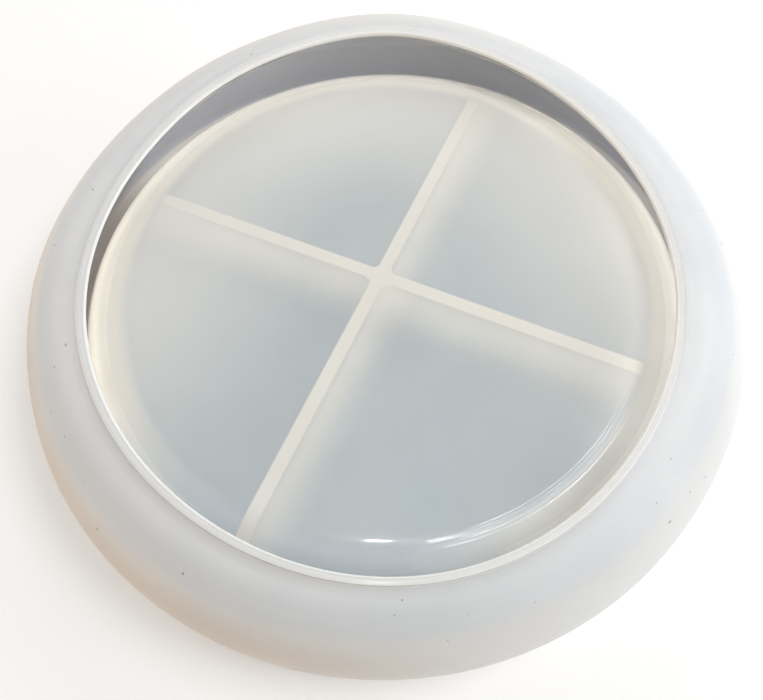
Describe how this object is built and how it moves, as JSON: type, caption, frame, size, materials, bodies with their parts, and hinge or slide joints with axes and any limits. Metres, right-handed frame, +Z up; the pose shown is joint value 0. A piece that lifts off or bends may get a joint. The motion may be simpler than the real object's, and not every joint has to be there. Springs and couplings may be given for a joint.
{
  "type": "resin casting mould",
  "caption": "Round soft casting mould with a rolled outer shell, a narrow flat lip and a raised central core stiffened by a cross underneath.",
  "frame": {"origin": "centre of the base, on the surface that the mould stands on", "axes": "+Z up through the mouth along the turning axis; +Y along the long rib; +X along the two short ribs"},
  "size_m": [0.29, 0.29, 0.048],
  "materials": {
    "lip_silicone": "satin, milky white",
    "shell_silicone": "matt, milky white, fine turned marks",
    "core_silicone": "gloss, translucent cream",
    "platform_silicone": "gloss, translucent",
    "rib_silicone": "satin, translucent cream"
  },
  "bodies": {
    "root": {"pour_lip": "lip_silicone", "shell_crown": "shell_silicone", "shell_belly": "shell_silicone", "shell_skirt": "shell_silicone", "groove_floor": "shell_silicone", "core_side_wall": "core_silicone", "core_shoulder": "core_silicone", "core_platform": "platform_silicone", "long_rib": "rib_silicone", "short_rib_right": "rib_silicone", "short_rib_left": "rib_silicone"}
  },
  "joints": []
}
